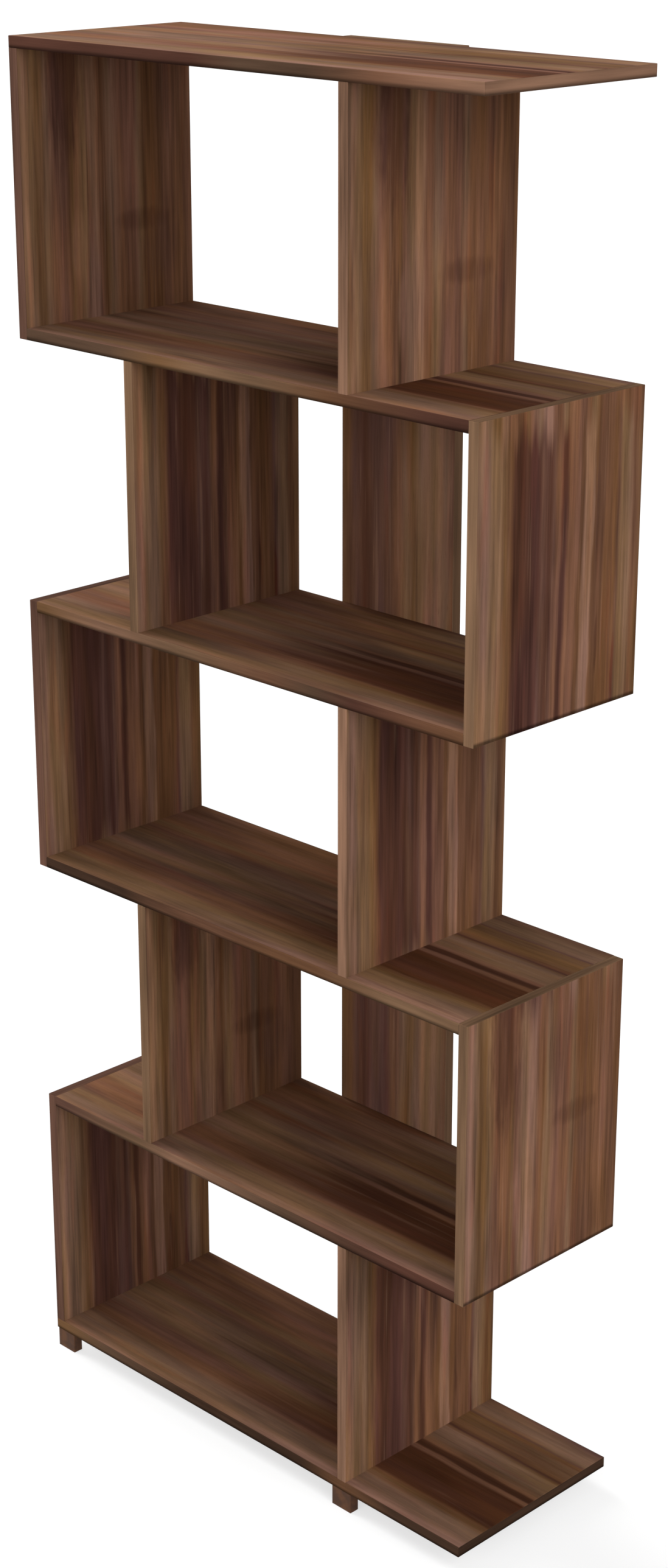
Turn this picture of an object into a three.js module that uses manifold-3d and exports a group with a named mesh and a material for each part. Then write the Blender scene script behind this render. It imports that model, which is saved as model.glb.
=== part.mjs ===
// Zigzag bookshelf in millimetres: six boards, five outer and five inner panels, a back strip, four feet
// and the fittings that hold them. X runs from the left end to the right end, Y from the front to the
// back and Z up. Positions below are those of the carcass, whose zero is the front left lower corner of
// the lowest board. The exported group moves that corner, so that its own origin lies on the floor,
// in the middle of the whole bookshelf.
//
// Every joint has two wooden pegs, which come glued into the end of one board, and one cam fitting
// between them. The cam lies in that same board and pulls on a bolt in the face of the other.

import * as THREE from 'three';
import { mergeVertices } from 'three/addons/utils/BufferGeometryUtils.js';
import Module from 'manifold-3d';

const wasm = await Module();
wasm.setup();

// Boards and panels, all cut from one sheet
const shelfWidth = 800; // over the outer panels
const boardDepth = 290; // front edge to rear edge
const boardThickness = 15;
const tierHeight = 350; // clear height between two boards
const tierCount = 5;
const sideOffset = 204; // open stretch of board beside an inner panel

// Back strip, of the same sheet
const stripWidth = 200;

// Feet
const footWidth = 35;
const footDepth = 15;
const footHeight = 28;
const footCorner = 1.5; // radius of the upright corners
const footEndInset = 2.5; // from the end of the bookshelf to the end foot
const footCornerSteps = 2;

// Clearance round every fitting, and how far a shape runs past the face that it cuts or is joined to
const fitGap = 0.3;
const overrun = 2;

// Cams: round, in a pocket near the end of a board, halfway along its depth
const camRadius = 7.5;
const camSetback = 24; // from the board's end to the middle of the cam
const camFloor = 2.5; // sheet left under the pocket
const camSides = 20;
const camSlotWidth = 2.4;
const camSlotLength = 9.5;
const camSlotDepth = 2.2;

// Bolt of each cam: a threaded end in the face of the other board, and a thinner neck up to the cam
const boltThreadRadius = 3;
const boltFloor = 4; // sheet left beyond the threaded end
const boltShank = 8; // full radius beyond the face
const boltNeckRadius = 2.2;

// Wooden pegs, glued into the end of a board
const pegRadius = 4;
const pegFloor = 4; // sheet left beyond the peg in the face that it enters
const pegInset = 50; // from the front or rear edge

// Screws of the back strip, with countersunk heads
const stripScrewRadius = 2;
const stripScrewHeadRadius = 4;
const stripScrewHeadHeight = 2.4;
const stripScrewBite = 24; // into the rear edge of a board
const stripScrewInset = 40; // from the long edge of the strip

// Screws of the feet, with flat heads in deep counterbores
const footScrewRadius = 1.8;
const footScrewHeadRadius = 3.3;
const footScrewHeadHeight = 2.2;
const footCounterbore = 13; // depth, from the floor
const footScrewFloor = 3; // sheet left above the tip

// Screws, bolts and pegs have this many sides, and screws a point this long
const roundSides = 10;
const screwPoint = 4;

// Sizes that follow
const tierPitch = tierHeight + boardThickness;
const carcassHeight = tierCount * tierPitch + boardThickness;
const wholeDepth = boardDepth + boardThickness;
const rightInnerPanelX = shelfWidth - sideOffset - boardThickness; // left face of the panel
const camHeight = boardThickness - camFloor - fitGap;
const boltBite = boardThickness - boltFloor - fitGap;
const pegBite = boardThickness - pegFloor - fitGap;
const footScrewBite = boardThickness - footScrewFloor - fitGap;
const footScrewSeat = footHeight - footCounterbore; // foot left between the head and the board
const sheetFace = boardThickness / 2; // from the middle of the sheet to its face

const finishes = {
  laminate: new THREE.MeshStandardMaterial({ color: 0x6b4a35, roughness: 0.55, metalness: 0 }),
  zinc: new THREE.MeshStandardMaterial({ color: 0xa9abad, roughness: 0.42, metalness: 0.9 }),
  steel: new THREE.MeshStandardMaterial({ color: 0xb9b7ae, roughness: 0.35, metalness: 1 }),
  plastic: new THREE.MeshStandardMaterial({ color: 0x5b4334, roughness: 0.6, metalness: 0 }),
};

const directions = {
  left: new THREE.Vector3(-1, 0, 0),
  right: new THREE.Vector3(1, 0, 0),
  forward: new THREE.Vector3(0, -1, 0),
  up: new THREE.Vector3(0, 0, 1),
  down: new THREE.Vector3(0, 0, -1),
};

// Closed geometry to a solid that can be joined and cut, and back

function toSolid(geometry) {
  const bare = geometry.clone();
  bare.deleteAttribute('normal');
  bare.deleteAttribute('uv');
  const merged = mergeVertices(bare);
  const index = merged.index.array;
  const triVerts = [];
  for (let i = 0; i < index.length; i += 3) {
    const [a, b, c] = [index[i], index[i + 1], index[i + 2]];
    if (a !== b && b !== c && c !== a) {
      triVerts.push(a, b, c);
    }
  }
  return new wasm.Manifold(new wasm.Mesh({
    numProp: 3,
    vertProperties: new Float32Array(merged.attributes.position.array),
    triVerts: new Uint32Array(triVerts),
  }));
}

function toGeometry(solid) {
  const mesh = solid.getMesh();
  const geometry = new THREE.BufferGeometry();
  geometry.setAttribute('position', new THREE.BufferAttribute(mesh.vertProperties, mesh.numProp));
  geometry.setIndex(new THREE.BufferAttribute(mesh.triVerts, 1));
  geometry.computeVertexNormals();
  return geometry;
}

// A box by its low corner and its size
function box(low, size) {
  const geometry = new THREE.BoxGeometry(...size);
  geometry.translate(low[0] + size[0] / 2, low[1] + size[1] / 2, low[2] + size[2] / 2);
  return geometry;
}

// A solid turned about Y from a profile of [radius, height] points that starts and ends on the axis
function turned(profile, sides = roundSides) {
  return new THREE.LatheGeometry(profile.map(([radius, y]) => new THREE.Vector2(radius, y)), sides);
}

function bar(radius, from, to, sides = roundSides) {
  return turned([[0, from], [radius, from], [radius, to], [0, to]], sides);
}

// Every piece by its node's name: the solid as it stands in the carcass, and the corner or the middle
// that its mesh is placed by

const pieces = new Map();

function addPiece(name, place, solid, finish) {
  pieces.set(name, { place, solid, finish });
}

function addSheet(name, low, size) {
  addPiece(name, low, toSolid(box(low, size)), finishes.laminate);
}

function cut(name, solid) {
  pieces.get(name).solid = pieces.get(name).solid.subtract(solid);
}

function join(name, solid) {
  pieces.get(name).solid = pieces.get(name).solid.add(solid);
}

// A fitting's own frame has its zero on the plane where two pieces meet. Its Y axis runs into the piece
// that is held, and its X axis points out of that piece's face.
function fittingFrame(origin, into, out) {
  const across = new THREE.Vector3().crossVectors(out, into);
  return new THREE.Matrix4().makeBasis(out, into, across).setPosition(...origin);
}

function placed(geometry, frame) {
  return toSolid(geometry.clone().applyMatrix4(frame));
}

// The cam stands across its bolt, so its turned form is laid from the Y axis onto the X axis
function camForm(radius, from, to) {
  const form = bar(radius, from, to, camSides);
  form.rotateZ(-Math.PI / 2);
  form.translate(0, camSetback, 0);
  return form;
}

const camBodyForm = camForm(camRadius, sheetFace - camHeight, sheetFace);
const camPocketForm = camForm(camRadius + fitGap, sheetFace - camHeight - fitGap, sheetFace + overrun);
const camSlotForm = box(
  [sheetFace - camSlotDepth, camSetback - camSlotLength / 2, -camSlotWidth / 2],
  [camSlotDepth + overrun, camSlotLength, camSlotWidth],
);
const boltForm = turned([
  [0, -boltBite],
  [boltThreadRadius, -boltBite],
  [boltThreadRadius, boltShank],
  [boltNeckRadius, boltShank],
  [boltNeckRadius, camSetback],
  [0, camSetback],
]);
const boltHoleForm = bar(boltThreadRadius + fitGap, -boltBite - fitGap, camSetback);

function camFitting(name, faceName, endName, frame) {
  const hole = placed(boltHoleForm, frame);
  cut(faceName, hole);
  cut(endName, hole);
  cut(endName, placed(camPocketForm, frame));
  const cam = placed(camBodyForm, frame).subtract(placed(camSlotForm, frame));
  const place = new THREE.Vector3().setFromMatrixPosition(frame);
  addPiece(name, place, cam.add(placed(boltForm, frame)), finishes.zinc);
}

// A peg stands out of the end and enters the face. Its root is sunk into the end, where it is glued.
const pegForm = bar(pegRadius, -pegBite, overrun);
const pegHoleForm = bar(pegRadius + fitGap, -pegBite - fitGap, overrun);

function peg(faceName, endName, frame) {
  cut(faceName, placed(pegHoleForm, frame));
  join(endName, placed(pegForm, frame));
}

// One joint: the end of a board against the face of another, at x and z, all along the depth
function joint(name, faceName, endName, x, z, into, out) {
  camFitting(name, faceName, endName, fittingFrame([x, boardDepth / 2, z], into, out));
  for (const y of [pegInset, boardDepth - pegInset]) {
    peg(faceName, endName, fittingFrame([x, y, z], into, out));
  }
}

// Six boards. The base board and the top board have the full width, and both ends of a shelf lie between
// outer panels.

const boardNames = [];

function addBoards() {
  for (let level = 0; level <= tierCount; level += 1) {
    const inset = level === 0 || level === tierCount ? 0 : boardThickness;
    const name = level === 0 ? 'base_board' : level === tierCount ? 'top_board' : `shelf_${level}`;
    boardNames.push(name);
    addSheet(name, [inset, 0, level * tierPitch], [shelfWidth - 2 * inset, boardDepth, boardThickness]);
  }
}

// Each tier has an outer panel and an inner panel, which change sides from one tier to the next. An outer
// panel covers the end of a shelf, but stands between the base board or the top board and the rest.

function addTier(tier) {
  const outerOnLeft = tier % 2 === 1;
  const lower = { name: boardNames[tier - 1], bottom: (tier - 1) * tierPitch, isEnd: tier === 1 };
  const upper = { name: boardNames[tier], bottom: tier * tierPitch, isEnd: tier === tierCount };
  const outer = `outer_panel_${tier}`;
  const inner = `inner_panel_${tier}`;
  const outerX = outerOnLeft ? 0 : shelfWidth - boardThickness;
  const innerX = outerOnLeft ? rightInnerPanelX : sideOffset;
  const clearBottom = lower.bottom + boardThickness;
  const outerBottom = lower.isEnd ? clearBottom : lower.bottom;
  const outerTop = upper.isEnd ? upper.bottom : upper.bottom + boardThickness;

  addSheet(outer, [outerX, 0, outerBottom], [boardThickness, boardDepth, outerTop - outerBottom]);
  addSheet(inner, [innerX, 0, clearBottom], [boardThickness, boardDepth, tierHeight]);

  for (const board of [lower, upper]) {
    const side = board === lower ? 'low' : 'high';
    const contactZ = board === lower ? clearBottom : board.bottom;
    const away = board === lower ? directions.up : directions.down;
    const innerMiddle = innerX + boardThickness / 2;
    joint(`cam_inner_${tier}_${side}`, board.name, inner, innerMiddle, contactZ, away, directions.left);
    if (board.isEnd) {
      const outerMiddle = outerX + boardThickness / 2;
      joint(`cam_outer_${tier}_${side}`, board.name, outer, outerMiddle, contactZ, away, directions.left);
    } else {
      const contactX = outerOnLeft ? boardThickness : shelfWidth - boardThickness;
      const inward = outerOnLeft ? directions.right : directions.left;
      const middleZ = board.bottom + boardThickness / 2;
      joint(`cam_outer_${tier}_${side}`, outer, board.name, contactX, middleZ, inward, directions.down);
    }
  }
}

// The back strip stands against the rear edges, with two screws into each board

const stripScrewForm = turned([
  [0, -boardThickness],
  [stripScrewHeadRadius, -boardThickness],
  [stripScrewRadius, stripScrewHeadHeight - boardThickness],
  [stripScrewRadius, stripScrewBite - screwPoint],
  [0, stripScrewBite],
]);
const stripScrewHoleForm = turned([
  [0, -boardThickness - overrun],
  [stripScrewHeadRadius + fitGap, -boardThickness - overrun],
  [stripScrewHeadRadius + fitGap, -boardThickness],
  [stripScrewRadius + fitGap, stripScrewHeadHeight - boardThickness],
  [stripScrewRadius + fitGap, stripScrewBite + fitGap],
  [0, stripScrewBite + fitGap],
]);

function addBackStrip() {
  const left = (shelfWidth - stripWidth) / 2;
  addSheet('back_strip', [left, boardDepth, 0], [stripWidth, boardThickness, carcassHeight]);
  for (const [level, board] of boardNames.entries()) {
    const z = level * tierPitch + boardThickness / 2;
    for (const side of ['left', 'right']) {
      const x = side === 'left' ? left + stripScrewInset : left + stripWidth - stripScrewInset;
      const place = [x, boardDepth, z];
      const frame = fittingFrame(place, directions.forward, directions.up);
      const hole = placed(stripScrewHoleForm, frame);
      cut('back_strip', hole);
      cut(board, hole);
      addPiece(`strip_screw_${level}_${side}`, place, placed(stripScrewForm, frame), finishes.steel);
    }
  }
}

// Feet: blocks with rounded upright corners, flush with the front and rear edges, each held by one screw.
// The left feet stand near the end of the base board, and the middle feet stand under the inner panel.

const footScrewForm = turned([
  [0, -footScrewSeat - footScrewHeadHeight],
  [footScrewHeadRadius, -footScrewSeat - footScrewHeadHeight],
  [footScrewHeadRadius, -footScrewSeat],
  [footScrewRadius, -footScrewSeat],
  [footScrewRadius, footScrewBite - screwPoint],
  [0, footScrewBite],
]);
const footScrewHoleForm = turned([
  [0, -footHeight - overrun],
  [footScrewHeadRadius + fitGap, -footHeight - overrun],
  [footScrewHeadRadius + fitGap, -footScrewSeat],
  [footScrewRadius + fitGap, -footScrewSeat],
  [footScrewRadius + fitGap, footScrewBite + fitGap],
  [0, footScrewBite + fitGap],
]);

function footForm() {
  const outline = new THREE.Shape();
  const x = footWidth / 2 - footCorner;
  const y = footDepth / 2 - footCorner;
  outline.absarc(x, y, footCorner, 0, Math.PI / 2);
  outline.absarc(-x, y, footCorner, Math.PI / 2, Math.PI);
  outline.absarc(-x, -y, footCorner, Math.PI, Math.PI * 1.5);
  outline.absarc(x, -y, footCorner, Math.PI * 1.5, Math.PI * 2);
  return new THREE.ExtrudeGeometry(outline, {
    depth: footHeight,
    bevelEnabled: false,
    curveSegments: footCornerSteps,
  });
}

function addFoot(corner, x, y) {
  const name = `foot_${corner}`;
  const form = footForm();
  form.translate(x, y, -footHeight);
  addPiece(name, [x, y, -footHeight], toSolid(form), finishes.plastic);
  const frame = fittingFrame([x, y, 0], directions.up, directions.right);
  const hole = placed(footScrewHoleForm, frame);
  cut(name, hole);
  cut('base_board', hole);
  addPiece(`foot_screw_${corner}`, [x, y, 0], placed(footScrewForm, frame), finishes.steel);
}

function addFeet() {
  const endX = footEndInset + footWidth / 2;
  const middleX = rightInnerPanelX + boardThickness / 2;
  const frontY = footDepth / 2;
  const rearY = boardDepth - footDepth / 2;
  addFoot('front_left', endX, frontY);
  addFoot('front_middle', middleX, frontY);
  addFoot('rear_left', endX, rearY);
  addFoot('rear_middle', middleX, rearY);
}

addBoards();
for (let tier = 1; tier <= tierCount; tier += 1) {
  addTier(tier);
}
addBackStrip();
addFeet();

// The meshes, in one group that stands on the floor

const bookshelf = new THREE.Group();
const carcass = new THREE.Group();
bookshelf.add(carcass);
carcass.position.set(-shelfWidth / 2, -wholeDepth / 2, footHeight);

for (const [name, { place, solid, finish }] of pieces) {
  const corner = new THREE.Vector3(...place);
  const geometry = toGeometry(solid.translate(corner.clone().negate().toArray()));
  const mesh = new THREE.Mesh(geometry, finish.clone());
  mesh.name = name;
  mesh.position.copy(corner);
  carcass.add(mesh);
}

export default bookshelf;
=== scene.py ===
"""Zigzag bookshelf in walnut-effect laminate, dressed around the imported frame, in soft even light."""
import math

import bmesh
import bpy
from mathutils import Matrix, Vector
from mathutils.geometry import tessellate_polygon


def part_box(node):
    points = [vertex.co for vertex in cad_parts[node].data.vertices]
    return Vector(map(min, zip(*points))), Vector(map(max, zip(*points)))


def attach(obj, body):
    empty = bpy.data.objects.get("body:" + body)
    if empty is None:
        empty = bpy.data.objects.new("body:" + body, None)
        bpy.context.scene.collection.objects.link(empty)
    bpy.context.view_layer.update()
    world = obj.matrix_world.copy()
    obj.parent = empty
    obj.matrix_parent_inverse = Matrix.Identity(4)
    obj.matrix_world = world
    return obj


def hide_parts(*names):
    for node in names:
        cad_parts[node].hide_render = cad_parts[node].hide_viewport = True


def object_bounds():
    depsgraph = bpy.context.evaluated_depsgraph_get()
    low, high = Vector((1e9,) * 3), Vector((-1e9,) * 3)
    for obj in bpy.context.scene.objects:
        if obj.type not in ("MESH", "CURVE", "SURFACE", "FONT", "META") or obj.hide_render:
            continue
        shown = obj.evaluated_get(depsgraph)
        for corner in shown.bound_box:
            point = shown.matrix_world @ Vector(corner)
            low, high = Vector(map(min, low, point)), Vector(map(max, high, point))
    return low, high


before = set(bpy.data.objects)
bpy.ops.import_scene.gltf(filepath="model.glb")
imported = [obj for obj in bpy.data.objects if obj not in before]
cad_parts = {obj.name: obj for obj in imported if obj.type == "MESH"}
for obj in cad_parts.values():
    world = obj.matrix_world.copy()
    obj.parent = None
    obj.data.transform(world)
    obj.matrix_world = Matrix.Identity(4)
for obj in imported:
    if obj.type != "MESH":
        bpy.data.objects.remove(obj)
CAD_BOX = [list(corner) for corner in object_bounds()]
NODES = sorted(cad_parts)

MM = 0.001
AXES = {"X": 0, "Y": 1, "Z": 2}
WHITE = (1.0, 1.0, 1.0, 1.0)

# Camera of the photograph, found from the edges of the bookshelf, in a picture of this size
PICTURE_HEIGHT = 2576
FOCAL_PIXELS = 4577.2
SENSOR = 36.0
CAMERA_PLACE = (2.4206, -2.3965, 2.1704)
CAMERA_AZIMUTH = 45.02
CAMERA_ELEVATION = 19.87
CAMERA_NEAR = 0.05
CAMERA_FAR = 200.0

# Light: four broad soft lamps far off, and an even pale surrounding. A lamp's azimuth is 0 in front of the
# bookshelf and 90 at its right, and a white face square to a lamp of strength 1 would look white.
LAMP_SPREAD = 40.0
LAMPS = {
    "front_lamp": {"azimuth": 0, "elevation": 12, "strength": 0.44},
    "right_lamp": {"azimuth": 67, "elevation": 12, "strength": 0.34},
    "upper_right_lamp": {"azimuth": 90, "elevation": 38, "strength": 0.37},
    "upper_left_lamp": {"azimuth": 270, "elevation": 38, "strength": 0.91},
}
SURROUNDING = 0.34
FLOOR_SIZE = 60.0
FLOOR_TONE = 0.4
FLOOR_GLOW = 0.66

# Sheets, as the boards, the panels and the back strip are called here: the depth range of the boards, the
# rounding of the edges, the banding with its joint line, the depth of the chipboard, with the share of that
# depth at which it starts to show, and the length after which the laminate repeats
BOARD_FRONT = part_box("base_board")[0].y
BOARD_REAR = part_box("base_board")[1].y
EDGE_ROUND = 0.8 * MM
EDGE_ROUND_STEPS = 3
BAND_THICKNESS = 1.0 * MM
SEAM_WIDTH = 0.22 * MM
SEAM_CORE = SEAM_WIDTH / 4
SEAM_STRENGTH = 0.45
CORE_DEPTH = 0.35 * MM
CORE_FADE = 0.8
GRAIN_REPEAT = 1.095

# Copies of CAD meshes: corners this near count as one, faces that turn by less than this angle become one,
# a point this near lies on an outer plane, and an edge over this angle is shaded sharp. Angles in degrees.
SAME_CORNER = 0.002 * MM
FLAT_ANGLE = 0.5
ON_PLANE = 0.02 * MM
SHARP_ANGLE = 35

# Fittings: their sizes are those of the CAD solids that they replace, from each head's face inward. A head
# is given by its radius and height, and a cross recess by its length, width and depth.
FOOT_ROUND = 0.7 * MM
ROUND_SIDES = 48
SHEET_MIDDLE = 7.5 * MM
CAM_RADIUS = 7.5 * MM
CAM_HEIGHT = 12.2 * MM
CAM_SETBACK = 24.0 * MM
CAM_RIM = 1.1 * MM
CAM_SINK = 0.35 * MM
CAM_CROSS = (9.5 * MM, 2.4 * MM, 2.2 * MM)
BOLT_BITE = 10.7 * MM
BOLT_RADIUS = 3.0 * MM
BOLT_SHANK = 8.0 * MM
BOLT_NECK = 2.2 * MM
BOLT_PITCH = 1.6 * MM
SCREW_PITCH = 1.4 * MM
SCREW_POINT = 4.0 * MM
SCREW_NECK = 2.0 * MM
SCREW_RIM = 0.25 * MM
STRIP_SCREW = {
    "direction": (0, 1, 0),
    "head": (4.0 * MM, 2.4 * MM),
    "radius": 2.0 * MM,
    "recess": (4.2 * MM, 1.0 * MM, 1.6 * MM),
    "head_is_flat": False,
}
FOOT_SCREW = {
    "direction": (0, 0, -1),
    "head": (3.3 * MM, 2.2 * MM),
    "radius": 1.8 * MM,
    "recess": (3.6 * MM, 0.9 * MM, 1.3 * MM),
    "head_is_flat": True,
}

# Shares of a fitting's own sizes: the length and width of a recess at its floor, the root of a thread and
# the half width of its ridge, the start and the end of a screw's point, and the end of a bolt
RECESS_FLOOR = (0.8, 0.7)
THREAD_ROOT = 0.82
THREAD_FLANK = 0.35
POINT_SHARES = (0.8, 0.08)
BOLT_END = 0.7

# Tones of the laminate as they look in plain light, in sRGB steps of 0 to 255
TAN = (117, 90, 68)
OLIVE = (104, 76, 51)
PLUM = (80, 52, 42)
MAUVE = (93, 66, 55)
RUST = (114, 80, 61)
PALE = (133, 100, 80)
BROWN = (102, 71, 50)
DARK = (70, 44, 32)
UMBER = (77, 47, 31)
SMOKE = (84, 64, 50)
DUSK = (66, 48, 37)
EMBER = (84, 40, 26)

# Bands of the uprights, from the front edge to the rear edge. The laminate repeats along its grain: over
# two thirds of the repeat it has dark bands, and the rest is lighter in the middle.
DARK_BAND_SHARES = [
    (0.00, TAN),
    (0.045, PALE),
    (0.07, TAN),
    (0.13, TAN),
    (0.16, OLIVE),
    (0.195, BROWN),
    (0.215, PLUM),
    (0.365, PLUM),
    (0.385, MAUVE),
    (0.43, PLUM),
    (0.45, MAUVE),
    (0.47, RUST),
    (0.49, RUST),
    (0.502, PLUM),
    (0.522, PLUM),
    (0.54, RUST),
    (0.60, RUST),
    (0.61, BROWN),
    (0.625, BROWN),
    (0.64, PALE),
    (0.69, PALE),
    (0.70, BROWN),
    (0.74, BROWN),
    (0.83, BROWN),
    (0.85, MAUVE),
    (0.87, TAN),
    (0.92, TAN),
    (0.95, BROWN),
    (1.00, OLIVE),
]
LIGHT_BAND_SHARES = [
    (0.00, TAN),
    (0.03, PALE),
    (0.06, TAN),
    (0.09, OLIVE),
    (0.125, OLIVE),
    (0.145, TAN),
    (0.185, RUST),
    (0.24, RUST),
    (0.275, BROWN),
    (0.29, OLIVE),
    (0.31, RUST),
    (0.36, TAN),
    (0.39, PALE),
    (0.43, PALE),
    (0.45, RUST),
    (0.48, BROWN),
    (0.51, TAN),
    (0.57, RUST),
    (0.65, RUST),
    (0.68, TAN),
    (0.71, BROWN),
    (0.80, BROWN),
    (0.86, RUST),
    (0.93, BROWN),
    (1.00, BROWN),
]

# Bands of the back strip, from its left edge to its right edge
STRIP_BAND_SHARES = [
    (0.00, OLIVE),
    (0.08, BROWN),
    (0.13, MAUVE),
    (0.22, PLUM),
    (0.30, MAUVE),
    (0.44, MAUVE),
    (0.52, RUST),
    (0.58, TAN),
    (0.64, OLIVE),
    (0.69, TAN),
    (0.76, PALE),
    (0.82, TAN),
    (0.87, PALE),
    (0.93, TAN),
    (1.00, RUST),
]

# Bands of the boards, from the front edge to the rear edge: dark ones at the right, lighter at the left
BOARD_DARK_SHARES = [
    (0.00, PALE),
    (0.04, PALE),
    (0.08, TAN),
    (0.14, TAN),
    (0.17, OLIVE),
    (0.195, BROWN),
    (0.215, UMBER),
    (0.43, UMBER),
    (0.445, RUST),
    (0.465, RUST),
    (0.475, DARK),
    (0.505, DARK),
    (0.52, RUST),
    (0.57, TAN),
    (0.66, TAN),
    (0.675, OLIVE),
    (0.69, PLUM),
    (0.70, BROWN),
    (0.76, OLIVE),
    (0.84, OLIVE),
    (0.85, MAUVE),
    (0.87, TAN),
    (0.93, TAN),
    (1.00, MAUVE),
]
BOARD_LIGHT_SHARES = [
    (0.00, PALE),
    (0.05, TAN),
    (0.14, TAN),
    (0.19, RUST),
    (0.30, RUST),
    (0.36, TAN),
    (0.41, PALE),
    (0.47, TAN),
    (0.54, TAN),
    (0.64, RUST),
    (0.69, TAN),
    (0.73, RUST),
    (0.84, RUST),
    (0.88, BROWN),
    (1.00, BROWN),
]

# The lighter stretch: on an upright, where it comes and goes in shares of the repeat, and on a board, where
# it goes by X, with how far the tongues at its ends reach
LIGHT_START = (0.325, 0.365)
LIGHT_END = (0.73, 0.66)
LIGHT_TONGUES = 0.025
BOARD_LIGHT_END = (0.18, -0.12)
BOARD_LIGHT_TONGUES = 70 * MM

# Soft marks that repeat with the laminate: across the sheet and along the grain, each as a middle and a
# half length, in shares of the depth and of the repeat, then the tone and how strongly it shows. The
# smudge lies higher on one panel, by a share of the repeat.
SMUDGE = [
    ((0.70, 0.17), (0.482, 0.015), DARK, 0.40),
    ((0.80, 0.12), (0.447, 0.040), MAUVE, 0.35),
]
SMUDGE_RAISED = {"outer_panel_2": 0.060}
UPRIGHT_MARKS = [
    ((0.25, 0.11), (0.645, 0.100), PLUM, 0.70),
    ((0.33, 0.05), (0.455, 0.050), PALE, 0.40),
    ((0.845, 0.012), (0.060, 0.050), EMBER, 0.60),
    ((0.74, 0.010), (0.100, 0.035), DARK, 0.55),
    ((0.67, 0.014), (0.045, 0.060), PALE, 0.50),
    ((0.79, 0.008), (0.800, 0.030), DARK, 0.45),
]
MARK_FADE = (1.3, 0.0)
MARK_FRAY_SWING = 0.4

# Noise along the grain: how many spots to a metre along the grain and across it, and where in the pattern
# they start. The swings are how far a noise moves what it acts on.
WAVER = (2.4, 5.0, 0.0)
WAVER_SWING = 4.0 * MM
FRINGE = (14.0, 60.0, 5.3)
FRINGE_SWING = 1.2 * MM
TONGUES = (3.0, 70.0, 31.7)
MARK_FRAY = (30.0, 160.0, 2.7)
HUES = (3.5, 34.0, 11.3)
REDNESS = (4.5, 60.0, 19.1)
UPRIGHT_STROKES = (3.6, 150.0, 17.9)
BOARD_STROKES = (4.0, 90.0, 17.9)
PORES = (55.0, 2600.0, 23.0)
RELIEF = (13.0, 380.0, 3.1)

# Streaks on the bands: noise as above, then how far each layer swings the brightness
UPRIGHT_STREAKS = [
    (6.0, 18.0, 27.4, 0.14),
    (2.2, 42.0, 0.0, 0.24),
    (5.0, 115.0, 3.1, 0.28),
    (9.0, 300.0, 7.7, 0.18),
    (26.0, 1500.0, 12.9, 0.08),
]
STRIP_STREAKS = [
    (6.0, 18.0, 27.4, 0.12),
    (2.2, 42.0, 0.0, 0.15),
    (5.0, 115.0, 3.1, 0.16),
    (9.0, 300.0, 7.7, 0.12),
    (26.0, 1500.0, 12.9, 0.08),
]
BOARD_STREAKS = [
    (4.0, 14.0, 27.4, 0.18),
    (3.0, 34.0, 0.0, 0.28),
    (7.0, 105.0, 3.1, 0.15),
    (12.0, 300.0, 7.7, 0.09),
    (26.0, 1500.0, 12.9, 0.08),
]

# Where a noise turns into a tint, a stroke or a pore, and how strongly that shows. The two spans hold most
# of a noise's values and nearly all of them.
NOISE_SPAN = (0.3, 0.7)
WIDE_NOISE_SPAN = (0.25, 0.75)
HUE_STEP = (0.34, 0.66)
WARM_TINT = (1.06, 1.01, 0.88, 1.0)
COOL_TINT = (0.97, 0.95, 1.08, 1.0)
RED_STEP = (0.54, 0.74)
RED_TINT = (1.08, 0.95, 0.93, 1.0)
DARK_STROKE_STEP = (0.60, 0.72)
PALE_STROKE_STEP = (0.40, 0.28)
STROKE_ROUGHNESS = 0.6
UPRIGHT_STROKE_STRENGTH = 0.42
BOARD_STROKE_STRENGTH = 0.24
PALE_STROKE_SHARE = 0.85
PORE_STEP = (0.62, 0.72)
PORE_STRENGTH = 0.35
PORE_RELIEF = 0.8

# Tones along the front edges: of upright pieces by their place from left to right, and of each board
UPRIGHT_EDGE_SHARES = [(0.00, MAUVE), (0.20, TAN), (0.60, TAN), (0.75, PALE), (1.00, TAN)]
BOARD_EDGE_SHARES = {
    "base_board": [(0.03, OLIVE), (0.14, SMOKE), (0.42, DUSK), (0.64, DUSK), (0.74, BROWN), (0.85, DUSK)],
    "shelf_1": [(0.05, MAUVE), (0.24, TAN), (0.33, PALE), (0.60, SMOKE), (0.85, PLUM), (1.00, PLUM)],
    "shelf_2": [(0.22, DUSK), (0.38, RUST), (0.46, RUST), (0.56, BROWN), (0.68, BROWN), (0.84, TAN)],
    "shelf_3": [(0.04, OLIVE), (0.18, PALE), (0.38, TAN), (0.57, RUST), (0.67, SMOKE), (0.76, PLUM),
                (1.00, BROWN)],
    "shelf_4": [(0.22, SMOKE), (0.34, OLIVE), (0.44, TAN), (0.56, TAN), (0.70, BROWN), (0.90, PLUM)],
    "top_board": [(0.05, PLUM), (0.42, PLUM), (0.52, SMOKE), (0.66, SMOKE), (0.80, RUST), (1.00, PALE)],
}

# The banding on the ends is dimmed a little. A painted shade darkens the lower border of the front edges
# of the boards and of the panels that hang over an open side, over these heights above their lowest points.
END_STEP = (0.6, 0.8)
END_LIGHT = 0.85
BOARD_SHADE_BORDER = (1.5 * MM, 5.5 * MM)
PANEL_SHADE_BORDER = (3.0 * MM, 6.5 * MM)
SHADE_BORDER_LIGHT = 0.32
HANGING_PANELS = ["outer_panel_2", "outer_panel_4"]

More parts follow.
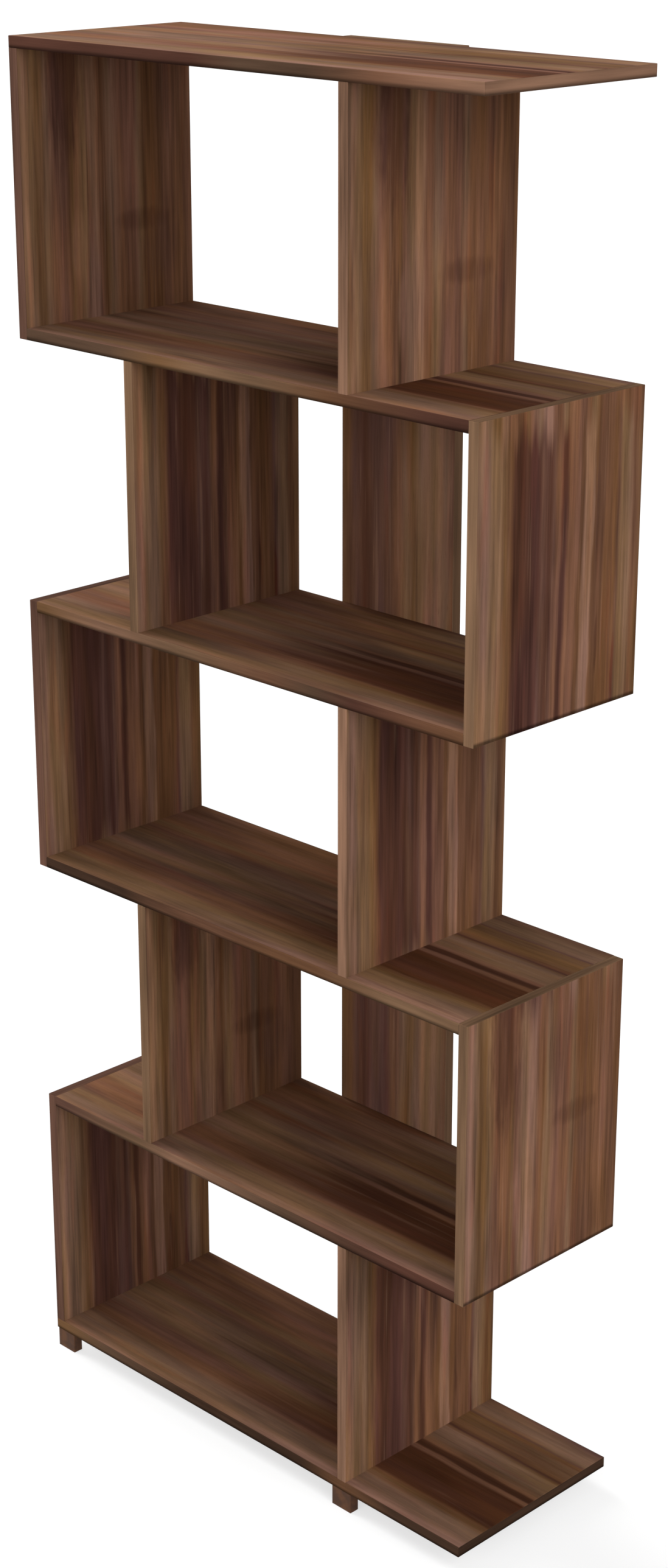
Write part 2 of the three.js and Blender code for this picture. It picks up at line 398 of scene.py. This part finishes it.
# Finishes: roughness as its lowest and highest value, bump as its strength and depth, and clouds, grain and
# chips as how many there are to a metre
LAMINATE_ROUGHNESS = (0.72, 0.88)
LAMINATE_BUMP = (0.12, 0.12 * MM)
LAMINATE_SPECULAR = 0.01
CHIPBOARD = (186, 158, 122)
CHIP_LIGHT = (214, 190, 152)
CHIP_STEP = (0.35, 0.65)
CHIPS = 900.0
PLASTIC = (92, 61, 41)
PLASTIC_DARK = (68, 44, 30)
PLASTIC_STEP = (0.35, 0.7)
PLASTIC_ROUGHNESS = (0.5, 0.66)
PLASTIC_BUMP = (0.25, 0.08 * MM)
PLASTIC_SPECULAR = 0.15
PLASTIC_CLOUDS = 70.0
PLASTIC_GRAIN = 2200.0
ZINC = {"tone": (176, 178, 180), "roughness": (0.38, 0.55), "clouds": 600.0}
STEEL = {"tone": (190, 188, 180), "roughness": (0.28, 0.4), "clouds": 900.0}
METAL_STEP = (0.35, 0.65)
METAL_DARKER = 0.72
METAL_BUMP = (0.15, 0.05 * MM)

# Sockets of a Mix node that mixes colours
MIX_FACTOR = 0
MIX_A = 6
MIX_B = 7
MIX_RESULT = 2


def linear(rgb):
    """A tone in sRGB steps as the linear RGBA that a shader takes."""
    channels = [step / 255 for step in rgb]
    bent = [c / 12.92 if c <= 0.04045 else ((c + 0.055) / 1.055) ** 2.4 for c in channels]
    return bent + [1.0]


class NodeTree:
    """The node tree of a material or a world, whose nodes are made and linked by short calls."""

    def __init__(self, owner):
        owner.use_nodes = True
        self.tree = owner.node_tree
        self.tree.nodes.clear()

    def put(self, socket, value):
        if isinstance(value, bpy.types.NodeSocket):
            self.tree.links.new(value, socket)
        else:
            socket.default_value = value

    def add(self, kind, inputs=None, **settings):
        node = self.tree.nodes.new(kind)
        for key, value in settings.items():
            setattr(node, key, value)
        for key, value in (inputs or {}).items():
            self.put(node.inputs[key], value)
        return node

    def math(self, operation, *values):
        node = self.add("ShaderNodeMath", operation=operation)
        for socket, value in zip(node.inputs, values):
            self.put(socket, value)
        return node.outputs[0]

    def least(self, values):
        result = values[0]
        for value in values[1:]:
            result = self.math("MINIMUM", result, value)
        return result

    def spread(self, value, low, high, start, end):
        """Turns the range from start to end into that from low to high, and goes beyond neither."""
        ends = {"From Min": start, "From Max": end, "To Min": low, "To Max": high}
        return self.add("ShaderNodeMapRange", {"Value": value, **ends}).outputs["Result"]

    def swing(self, noise, reach, span=NOISE_SPAN):
        """A noise as a number from -reach to reach."""
        return self.spread(noise, -reach, reach, *span)

    def step(self, value, low, high):
        """0 below low and 1 above high, smooth between them. With low above high it falls instead."""
        inputs = {"Value": value, "From Min": low, "From Max": high}
        return self.add("ShaderNodeMapRange", inputs, interpolation_type="SMOOTHSTEP").outputs["Result"]


class Shader(NodeTree):
    """One material of the bookshelf, on a Principled shader."""

    def __init__(self, name):
        self.material = bpy.data.materials.new(name)
        super().__init__(self.material)
        coordinates = self.add("ShaderNodeTexCoord")
        self.place = coordinates.outputs["Object"]
        self.normal = coordinates.outputs["Normal"]

    def parts(self, vector):
        node = self.add("ShaderNodeSeparateXYZ", {"Vector": vector})
        return {"X": node.outputs[0], "Y": node.outputs[1], "Z": node.outputs[2]}

    def vector(self, x, y, z):
        return self.add("ShaderNodeCombineXYZ", {"X": x, "Y": y, "Z": z}).outputs[0]

    def noise(self, vector, scale=1.0, detail=2.0, roughness=0.5):
        inputs = {"Vector": vector, "Scale": scale, "Detail": detail, "Roughness": roughness}
        return self.add("ShaderNodeTexNoise", inputs).outputs[0]

    def ramp(self, factor, stops):
        """The tone at a share, with the stops in rising order."""
        node = self.add("ShaderNodeValToRGB", {"Fac": factor})
        elements = node.color_ramp.elements
        for share, _ in stops[1:-1]:
            elements.new(share)
        for element, (share, tone) in zip(elements, stops):
            element.position = share
            element.color = linear(tone)
        return node.outputs["Color"]

    def mix(self, factor, a, b, blend="MIX"):
        inputs = {MIX_FACTOR: factor, MIX_A: a, MIX_B: b}
        return self.add("ShaderNodeMix", inputs, data_type="RGBA", blend_type=blend).outputs[MIX_RESULT]

    def multiply(self, a, b):
        return self.mix(1.0, a, b, "MULTIPLY")

    def dim(self, colour, value):
        """The colour times a number."""
        grey = self.add("ShaderNodeCombineColor", {"Red": value, "Green": value, "Blue": value})
        return self.multiply(colour, grey.outputs[0])

    def finish(self, colour, roughness, height, strength, depth, **constants):
        """Ends the material in one Principled shader, bumped by the height."""
        bump = self.add("ShaderNodeBump", {"Height": height, "Strength": strength, "Distance": depth})
        inputs = {"Base Color": colour, "Roughness": roughness, "Normal": bump.outputs[0]}
        surface = self.add("ShaderNodeBsdfPrincipled", inputs)
        for key, value in constants.items():
            surface.inputs[key.replace("_", " ")].default_value = value
        self.add("ShaderNodeOutputMaterial", {"Surface": surface.outputs[0]})
        return self.material


def is_panel(node):
    return "panel" in node


def is_upright(node):
    return is_panel(node) or node == "back_strip"


def is_sheet(node):
    return is_upright(node) or node.startswith("shelf") or node.endswith("_board")


def is_foot(node):
    return node.startswith("foot_") and "screw" not in node


def grain_axes(node):
    """The axes along the grain and across it on the broad faces."""
    if node == "back_strip":
        return "Z", "X"
    if is_panel(node):
        return "Z", "Y"
    return "X", "Y"


def streak_layers(node):
    if node == "back_strip":
        return STRIP_STREAKS
    return UPRIGHT_STREAKS if is_panel(node) else BOARD_STREAKS


def distance_to_faces(shader, place, node, axes):
    """How deep a point lies under the nearest of the node's outer planes square to these axes."""
    low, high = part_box(node)
    depths = []
    for axis in axes:
        index = AXES[axis]
        depths.append(shader.math("SUBTRACT", place[axis], low[index]))
        depths.append(shader.math("SUBTRACT", high[index], place[axis]))
    return shader.least(depths)


def drawn_noise(shader, place, along, pattern, detail=2.0, roughness=0.5):
    """A noise whose spots are drawn out into streaks along an axis."""
    length_scale, width_scale, shift = pattern
    scaled = []
    for axis in "XYZ":
        scale = length_scale if axis == along else width_scale
        scaled.append(shader.math("MULTIPLY_ADD", place[axis], scale, shift))
    return shader.noise(shader.vector(*scaled), detail=detail, roughness=roughness)


def streak_light(shader, place, along, layers):
    """A brightness about 1, in streaks of several widths."""
    total = 1.0
    for *pattern, reach in layers:
        streaks = drawn_noise(shader, place, along, pattern)
        total = shader.math("ADD", total, shader.swing(streaks, reach, WIDE_NOISE_SPAN))
    return total


def wavered(shader, place, node):
    """The place across the sheet, on bands that waver a little and have ragged borders."""
    along, across = grain_axes(node)
    waver = shader.swing(drawn_noise(shader, place, along, WAVER), WAVER_SWING)
    fringe = shader.swing(drawn_noise(shader, place, along, FRINGE), FRINGE_SWING)
    return shader.math("ADD", place[across], shader.math("ADD", waver, fringe))


def strip_bands(shader, place, node):
    low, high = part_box(node)
    share = shader.spread(wavered(shader, place, node), 0.0, 1.0, low.x, high.x)
    return shader.ramp(share, STRIP_BAND_SHARES)


def board_bands(shader, place, node):
    share = shader.spread(wavered(shader, place, node), 0.0, 1.0, BOARD_FRONT, BOARD_REAR)
    tongues = drawn_noise(shader, place, "X", TONGUES, detail=3.0)
    frayed = shader.math("ADD", place["X"], shader.swing(tongues, BOARD_LIGHT_TONGUES))
    lightness = shader.step(frayed, *BOARD_LIGHT_END)
    dark = shader.ramp(share, BOARD_DARK_SHARES)
    light = shader.ramp(share, BOARD_LIGHT_SHARES)
    return shader.mix(lightness, dark, light)


def panel_bands(shader, place, node):
    """The bands of a panel, with the soft marks on them."""
    share = shader.spread(wavered(shader, place, node), 0.0, 1.0, BOARD_FRONT, BOARD_REAR)
    turn = shader.math("FRACT", shader.math("DIVIDE", place["Z"], GRAIN_REPEAT))
    tongues = drawn_noise(shader, place, "Z", TONGUES, detail=3.0)
    frayed = shader.math("ADD", turn, shader.swing(tongues, LIGHT_TONGUES))
    lightness = shader.math("MULTIPLY", shader.step(frayed, *LIGHT_START), shader.step(frayed, *LIGHT_END))
    dark = shader.ramp(share, DARK_BAND_SHARES)
    light = shader.ramp(share, LIGHT_BAND_SHARES)
    bands = shader.mix(lightness, dark, light)
    return soft_marks(shader, place, bands, share, turn, marks_on(node))


def marks_on(node):
    """The soft marks of a panel, with the smudge at its own height."""
    raised = SMUDGE_RAISED.get(node, 0.0)
    marks = []
    for width, (height, half_length), tone, strength in SMUDGE:
        marks.append((width, (height + raised, half_length), tone, strength))
    return marks + UPRIGHT_MARKS


def soft_marks(shader, place, colour, share, turn, marks):
    """Single soft smudges and strokes, with frayed borders."""
    fray = drawn_noise(shader, place, "Z", MARK_FRAY, detail=3.0)
    fray = shader.swing(fray, MARK_FRAY_SWING, WIDE_NOISE_SPAN)
    for (middle, half_width), (height, half_length), tone, strength in marks:
        aside = shader.math("DIVIDE", shader.math("SUBTRACT", share, middle), half_width)
        above = shader.math("DIVIDE", shader.math("SUBTRACT", turn, height), half_length)
        reach = shader.math("MULTIPLY_ADD", aside, aside, shader.math("MULTIPLY", above, above))
        reach = shader.math("ADD", reach, fray)
        amount = shader.math("MULTIPLY", shader.step(reach, *MARK_FADE), strength)
        colour = shader.mix(amount, colour, linear(tone))
    return colour


def tinted(shader, place, along, colour):
    """Patches of warmer, cooler and redder brown."""
    hue = drawn_noise(shader, place, along, HUES)
    colour = shader.multiply(colour, shader.mix(shader.step(hue, *HUE_STEP), COOL_TINT, WARM_TINT))
    redness = drawn_noise(shader, place, along, REDNESS)
    return shader.multiply(colour, shader.mix(shader.step(redness, *RED_STEP), WHITE, RED_TINT))


def stroked(shader, place, node, colour):
    """Rare long strokes, some dark and some pale."""
    pattern = UPRIGHT_STROKES if is_upright(node) else BOARD_STROKES
    strength = UPRIGHT_STROKE_STRENGTH if is_upright(node) else BOARD_STROKE_STRENGTH
    along = grain_axes(node)[0]
    lines = drawn_noise(shader, place, along, pattern, roughness=STROKE_ROUGHNESS)
    dark = shader.math("MULTIPLY", shader.step(lines, *DARK_STROKE_STEP), strength)
    colour = shader.mix(dark, colour, linear(PLUM))
    pale = shader.math("MULTIPLY", shader.step(lines, *PALE_STROKE_STEP), strength * PALE_STROKE_SHARE)
    return shader.mix(pale, colour, linear(PALE))


def painted_lower_shade(shader, place, node):
    """Painted shade: a brightness that falls towards the lowest border of a piece."""
    start, end = PANEL_SHADE_BORDER if is_upright(node) else BOARD_SHADE_BORDER
    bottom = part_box(node)[0].z
    return shader.spread(place["Z"], SHADE_BORDER_LIGHT, 1.0, bottom + start, bottom + end)


def broad_face(shader, place, node, streaks, pores):
    """The skin of the broad faces: bands, tints, strokes, streaks and pores, and painted shade low on
    hanging panels.
    """
    if node == "back_strip":
        colour = strip_bands(shader, place, node)
    elif is_panel(node):
        colour = panel_bands(shader, place, node)
    else:
        colour = board_bands(shader, place, node)
    colour = tinted(shader, place, grain_axes(node)[0], colour)
    colour = stroked(shader, place, node, colour)
    colour = shader.dim(colour, streaks)
    colour = shader.mix(shader.math("MULTIPLY", pores, PORE_STRENGTH), colour, linear(DARK))
    # Panels that hang over an open side are darkened along their lower border by a painted shade
    if node in HANGING_PANELS:
        colour = shader.dim(colour, painted_lower_shade(shader, place, node))
    return colour


def banding(shader, place, node, streaks, ends):
    """The banding of the narrow faces, whose streaks run across the piece on its ends; on boards, painted
    shade low down.
    """
    end_streaks = streak_light(shader, place, grain_axes(node)[1], streak_layers(node))
    turned = shader.math("SUBTRACT", end_streaks, streaks)
    band_streaks = shader.math("MULTIPLY_ADD", ends, turned, streaks)
    tones = UPRIGHT_EDGE_SHARES if is_upright(node) else BOARD_EDGE_SHARES[node]
    share = shader.spread(place["X"], 0.0, 1.0, CAD_BOX[0][0], CAD_BOX[1][0])
    band = shader.dim(shader.ramp(share, tones), band_streaks)
    band = shader.dim(band, shader.spread(ends, 1.0, END_LIGHT, 0.0, 1.0))
    if is_upright(node):
        return band
    # On the boards the banding is darkened along its lower border by a painted shade
    return shader.dim(band, painted_lower_shade(shader, place, node))


def chipboard(shader):
    chips = shader.noise(shader.place, scale=CHIPS, detail=3.0, roughness=0.7)
    return shader.mix(shader.step(chips, *CHIP_STEP), linear(CHIPBOARD), linear(CHIP_LIGHT))


def laminate(node):
    """Walnut-effect laminate with its grain along the piece, banded edges, and chipboard in its holes."""
    shader = Shader(f"laminate_{node}")
    place = shader.parts(shader.place)
    along, across = grain_axes(node)
    streaks = streak_light(shader, place, along, streak_layers(node))
    pores = shader.step(drawn_noise(shader, place, along, PORES, detail=1.0), *PORE_STEP)
    colour = broad_face(shader, place, node, streaks, pores)

    # The banding covers the ends and the long edges
    ends = shader.math("ABSOLUTE", shader.parts(shader.normal)[along])
    ends = shader.step(ends, *END_STEP)
    from_edge = distance_to_faces(shader, place, node, across)
    on_band = shader.step(from_edge, BAND_THICKNESS, BAND_THICKNESS - SEAM_CORE)
    band = banding(shader, place, node, streaks, ends)
    colour = shader.mix(shader.math("MAXIMUM", on_band, ends), colour, band)

    # It leaves a joint line on the broad faces
    seam = shader.math("ABSOLUTE", shader.math("SUBTRACT", from_edge, BAND_THICKNESS))
    seam = shader.step(seam, SEAM_WIDTH, SEAM_CORE)
    colour = shader.mix(shader.math("MULTIPLY", seam, SEAM_STRENGTH), colour, linear(DARK))

    # Chipboard shows wherever a cut goes below the skin
    from_skin = distance_to_faces(shader, place, node, "XYZ")
    core = shader.step(from_skin, CORE_DEPTH * CORE_FADE, CORE_DEPTH)
    colour = shader.mix(core, colour, chipboard(shader))

    relief = drawn_noise(shader, place, along, RELIEF)
    roughness = shader.spread(relief, *LAMINATE_ROUGHNESS, *NOISE_SPAN)
    height = shader.math("SUBTRACT", relief, shader.math("MULTIPLY", pores, PORE_RELIEF))
    return shader.finish(colour, roughness, height, *LAMINATE_BUMP, Specular_IOR_Level=LAMINATE_SPECULAR)


def moulded_plastic(name):
    """Matte brown plastic with a fine spark-eroded grain."""
    shader = Shader(name)
    cloud = shader.noise(shader.place, scale=PLASTIC_CLOUDS, detail=3.0)
    colour = shader.mix(shader.step(cloud, *PLASTIC_STEP), linear(PLASTIC_DARK), linear(PLASTIC))
    grain = shader.noise(shader.place, scale=PLASTIC_GRAIN, detail=2.0)
    roughness = shader.spread(cloud, *PLASTIC_ROUGHNESS, *NOISE_SPAN)
    return shader.finish(colour, roughness, grain, *PLASTIC_BUMP, Specular_IOR_Level=PLASTIC_SPECULAR)


def metal(name, tone, roughness, clouds):
    """Dull cast or plated metal, whose clouds are darker where they are rougher."""
    shader = Shader(name)
    cloud = shader.noise(shader.place, scale=clouds, detail=4.0, roughness=0.65)
    darker = tuple(step * METAL_DARKER for step in tone)
    colour = shader.mix(shader.step(cloud, *METAL_STEP), linear(darker), linear(tone))
    low, high = roughness
    varied = shader.spread(cloud, high, low, *NOISE_SPAN)
    return shader.finish(colour, varied, cloud, *METAL_BUMP, Metallic=1.0)


def new_piece(name, work, material, replaced):
    """Turns a bmesh into a piece that rides on the carcass in place of CAD nodes."""
    mesh = bpy.data.meshes.new(name)
    bmesh.ops.recalc_face_normals(work, faces=work.faces)
    for face in work.faces:
        face.smooth = True
    work.to_mesh(mesh)
    work.free()
    mesh.materials.append(material)
    piece = bpy.data.objects.new(name, mesh)
    bpy.context.scene.collection.objects.link(piece)

    # Flat faces keep their own normals, and only the rounding between them is shaded smooth
    mesh.set_sharp_from_angle(angle=math.radians(SHARP_ANGLE))
    weighted = piece.modifiers.new("even_shading", "WEIGHTED_NORMAL")
    weighted.keep_sharp = True

    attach(piece, "root")
    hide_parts(*replaced)


def cad_copy(node):
    """A node's mesh with shared corners, and one face where it has many flat triangles."""
    work = bmesh.new()
    work.from_mesh(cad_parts[node].data)
    bmesh.ops.remove_doubles(work, verts=work.verts, dist=SAME_CORNER)
    flat = math.radians(FLAT_ANGLE)
    bmesh.ops.dissolve_limit(work, angle_limit=flat, verts=work.verts, edges=work.edges)
    return work


def on_planes(point, low, high):
    """How many of the six outer planes of a box a point lies on."""
    count = 0
    for index in range(3):
        if min(abs(point[index] - low[index]), abs(point[index] - high[index])) < ON_PLANE:
            count += 1
    return count


def round_outer_edges(work, node, radius):
    """Rounds the edges of a piece's box, and leaves its holes crisp."""
    low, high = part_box(node)
    chosen = []
    for edge in work.edges:
        middle = (edge.verts[0].co + edge.verts[1].co) / 2
        if on_planes(middle, low, high) >= 2:
            chosen.append(edge)
    bmesh.ops.bevel(
        work,
        geom=chosen,
        offset=radius,
        segments=EDGE_ROUND_STEPS,
        profile=0.5,
        affect="EDGES",
        clamp_overlap=False,
    )


def make_sheet(node):
    work = cad_copy(node)
    round_outer_edges(work, node, EDGE_ROUND)
    new_piece(f"{node}_sheet", work, laminate(node), [node])


def make_foot(node, material):
    work = cad_copy(node)
    round_outer_edges(work, node, FOOT_ROUND)
    new_piece(f"{node}_block", work, material, [node])


def loop(work, matrix, outline, height):
    """New corners along a flat outline at a height on the local Z axis."""
    return [work.verts.new(matrix @ Vector((x, y, height))) for x, y in outline]


def circle(radius):
    turns = [2 * math.pi * step / ROUND_SIDES for step in range(ROUND_SIDES)]
    return [(radius * math.cos(turn), radius * math.sin(turn)) for turn in turns]


def cross(length, width):
    """The outline of a plus sign."""
    tip = length / 2
    side = width / 2
    quarter = [(tip, -side), (tip, side), (side, side)]
    outline = []
    for corner in range(4):
        turn = Matrix.Rotation(corner * math.pi / 2, 2)
        outline += [tuple(turn @ Vector(point)) for point in quarter]
    return outline


def walls(work, first, second):
    """Faces between two loops that have as many corners."""
    for index in range(len(first)):
        following = (index + 1) % len(first)
        work.faces.new((first[index], first[following], second[following], second[index]))


def plate(work, outer, inner):
    """The flat face between a rim and the edge of a recess in it."""
    corners = outer + inner
    outlines = [[corner.co for corner in outer], [corner.co for corner in inner]]
    for triangle in tessellate_polygon(outlines):
        work.faces.new([corners[index] for index in triangle])


def turn_form(work, matrix, profile, recess=None):
    """A closed turned form from (radius, height) pairs, with a cross recess in its first face if asked."""
    loops = [loop(work, matrix, circle(radius), height) for radius, height in profile]
    for first, second in zip(loops, loops[1:]):
        walls(work, first, second)
    work.faces.new(loops[-1])
    if recess is None:
        work.faces.new(loops[0])
        return
    length, width, depth = recess
    floor_length, floor_width = RECESS_FLOOR
    top = profile[0][1]
    mouth = loop(work, matrix, cross(length, width), top)
    base = loop(work, matrix, cross(length * floor_length, width * floor_width), top - depth)
    plate(work, loops[0], mouth)
    walls(work, mouth, base)
    work.faces.new(base)


def thread(radius, start, end, pitch):
    """Profile of a screw thread as rings of ridges, from start down to end."""
    root = radius * THREAD_ROOT
    flank = pitch * THREAD_FLANK
    profile = []
    for index in range(max(1, int((start - end) / pitch))):
        crest = start - (index + 0.5) * pitch
        profile += [(root, crest + flank), (radius, crest), (root, crest - flank)]
    return profile


def facing(place, direction):
    """A frame at a place whose Z axis has the direction given."""
    turn = Vector((0, 0, 1)).rotation_difference(Vector(direction))
    return Matrix.Translation(place) @ turn.to_matrix().to_4x4()


def screw_profile(length, head, radius, head_is_flat):
    """A chamfered head, flat or countersunk, a thread and a point."""
    head_radius, head_height = head
    point_start, point_end = POINT_SHARES
    profile = [(head_radius - SCREW_RIM, 0.0), (head_radius, -SCREW_RIM)]
    if head_is_flat:
        profile += [(head_radius, SCREW_RIM - head_height), (head_radius - SCREW_RIM, -head_height)]
    profile.append((radius, -head_height))
    profile += thread(radius, -head_height - SCREW_NECK, SCREW_POINT - length, SCREW_PITCH)
    profile += [(radius * point_start, SCREW_POINT - length), (radius * point_end, -length)]
    return profile


def screw(node, direction, head, radius, recess, head_is_flat):
    """A screw whose head faces the direction given, at that end of the CAD screw."""
    low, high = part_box(node)
    direction = Vector(direction)
    length = abs((high - low).dot(direction))
    place = (low + high) / 2 + direction * length / 2
    work = bmesh.new()
    turn_form(work, facing(place, direction), screw_profile(length, head, radius, head_is_flat), recess)
    return work


def cam_profile():
    """A cylinder with chamfered ends and a raised rim round its face."""
    rim_inside = CAM_RADIUS - CAM_RIM
    chamfered = CAM_RADIUS - CAM_SINK
    return [
        (rim_inside - CAM_SINK, -CAM_SINK),
        (rim_inside, 0.0),
        (chamfered, 0.0),
        (CAM_RADIUS, -CAM_SINK),
        (CAM_RADIUS, CAM_SINK - CAM_HEIGHT),
        (chamfered, -CAM_HEIGHT),
    ]


def bolt_profile():
    """A thin neck in the cam, a thicker shank, and a threaded end at height 0."""
    shank_top = BOLT_BITE + BOLT_SHANK
    profile = [
        (BOLT_NECK, BOLT_BITE + CAM_SETBACK),
        (BOLT_NECK, shank_top),
        (BOLT_RADIUS, shank_top),
        (BOLT_RADIUS, BOLT_BITE),
    ]
    profile += thread(BOLT_RADIUS, BOLT_BITE, BOLT_PITCH / 2, BOLT_PITCH)
    profile.append((BOLT_RADIUS * BOLT_END, 0.0))
    return profile


def cam_directions(node):
    """Where the bolt points in the piece that holds the cam, and where the cam's face looks."""
    low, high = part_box(node)
    size = high - low
    axis = max(range(3), key=lambda index: size[index])
    into = Vector((0, 0, 0))
    if axis == AXES["Z"]:
        into[axis] = 1 if node.endswith("low") else -1
        return into, Vector((-1, 0, 0))
    into[axis] = 1 if (low + high).x < 0 else -1
    return into, Vector((0, 0, -1))


def cam(node):
    """A cam with a rim and a cross recess, and the bolt that it holds."""
    low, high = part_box(node)
    into, out = cam_directions(node)
    reach = BOLT_BITE + CAM_SETBACK + CAM_RADIUS
    contact = (low + high) / 2 - into * (reach / 2 - BOLT_BITE)
    thickness = abs((high - low).dot(out))
    face = contact + into * CAM_SETBACK + out * thickness / 2
    bolt_foot = face - out * SHEET_MIDDLE - into * (CAM_SETBACK + BOLT_BITE)
    work = bmesh.new()
    turn_form(work, facing(face, out), cam_profile(), CAM_CROSS)
    turn_form(work, facing(bolt_foot, into), bolt_profile())
    return work


def make_fittings():
    zinc = metal("die_cast_zinc", **ZINC)
    steel = metal("plated_steel", **STEEL)
    for node in NODES:
        if node.startswith("cam_"):
            new_piece(f"{node}_lock", cam(node), zinc, [node])
        elif node.startswith("strip_screw"):
            new_piece(f"{node}_turned", screw(node, **STRIP_SCREW), steel, [node])
        elif node.startswith("foot_screw"):
            new_piece(f"{node}_turned", screw(node, **FOOT_SCREW), steel, [node])


def make_camera():
    data = bpy.data.cameras.new("photo_camera")
    data.sensor_fit = "VERTICAL"
    data.sensor_height = SENSOR
    data.lens = SENSOR * FOCAL_PIXELS / PICTURE_HEIGHT
    data.clip_start = CAMERA_NEAR
    data.clip_end = CAMERA_FAR
    camera = bpy.data.objects.new("photo_camera", data)
    camera.location = CAMERA_PLACE
    camera.rotation_euler = (math.radians(90 - CAMERA_ELEVATION), 0.0, math.radians(CAMERA_AZIMUTH))
    bpy.context.scene.collection.objects.link(camera)
    bpy.context.scene.camera = camera


def make_lamp(name, azimuth, elevation, strength):
    data = bpy.data.lights.new(name, "SUN")
    data.energy = strength * math.pi
    data.angle = math.radians(LAMP_SPREAD)
    lamp = bpy.data.objects.new(name, data)
    lamp.rotation_euler = (math.radians(90 - elevation), 0.0, math.radians(azimuth))
    bpy.context.scene.collection.objects.link(lamp)


def seen_share(tree):
    """1 where the surface is looked at, straight, mirrored or through glass, and 0 where it only lights."""
    path = tree.add("ShaderNodeLightPath").outputs
    indirectly = tree.math("MAXIMUM", path["Is Glossy Ray"], path["Is Transmission Ray"])
    return tree.math("MAXIMUM", path["Is Camera Ray"], indirectly)


def make_surroundings():
    """An even pale light from all sides, which looks white."""
    world = bpy.data.worlds.new("studio")
    tree = NodeTree(world)
    strength = tree.spread(seen_share(tree), SURROUNDING, 1.0, 0.0, 1.0)
    background = tree.add("ShaderNodeBackground", {"Color": WHITE, "Strength": strength})
    tree.add("ShaderNodeOutputWorld", {"Surface": background.outputs[0]})
    bpy.context.scene.world = world


def floor_material():
    """A pale matte surface that glows where it is looked at, so that it looks white outside the shadow."""
    material = bpy.data.materials.new("pale_floor")
    tree = NodeTree(material)
    matte = tree.add("ShaderNodeBsdfDiffuse", {"Color": (FLOOR_TONE, FLOOR_TONE, FLOOR_TONE, 1.0)})
    strength = tree.math("MULTIPLY", seen_share(tree), FLOOR_GLOW)
    glow = tree.add("ShaderNodeEmission", {"Color": WHITE, "Strength": strength})
    both = tree.add("ShaderNodeAddShader", {0: matte.outputs[0], 1: glow.outputs[0]})
    tree.add("ShaderNodeOutputMaterial", {"Surface": both.outputs[0]})
    return material


def make_floor():
    work = bmesh.new()
    bmesh.ops.create_grid(work, x_segments=1, y_segments=1, size=FLOOR_SIZE / 2)
    mesh = bpy.data.meshes.new("floor")
    work.to_mesh(mesh)
    work.free()
    mesh.materials.append(floor_material())
    floor = bpy.data.objects.new("floor", mesh)
    bpy.context.scene.collection.objects.link(floor)


make_camera()
for lamp_name, lamp in LAMPS.items():
    make_lamp(lamp_name, **lamp)
make_surroundings()
make_floor()
bpy.context.scene.view_settings.view_transform = "Standard"

for node in filter(is_sheet, NODES):
    make_sheet(node)
plastic = moulded_plastic("brown_plastic")
for node in filter(is_foot, NODES):
    make_foot(node, plastic)
make_fittings()
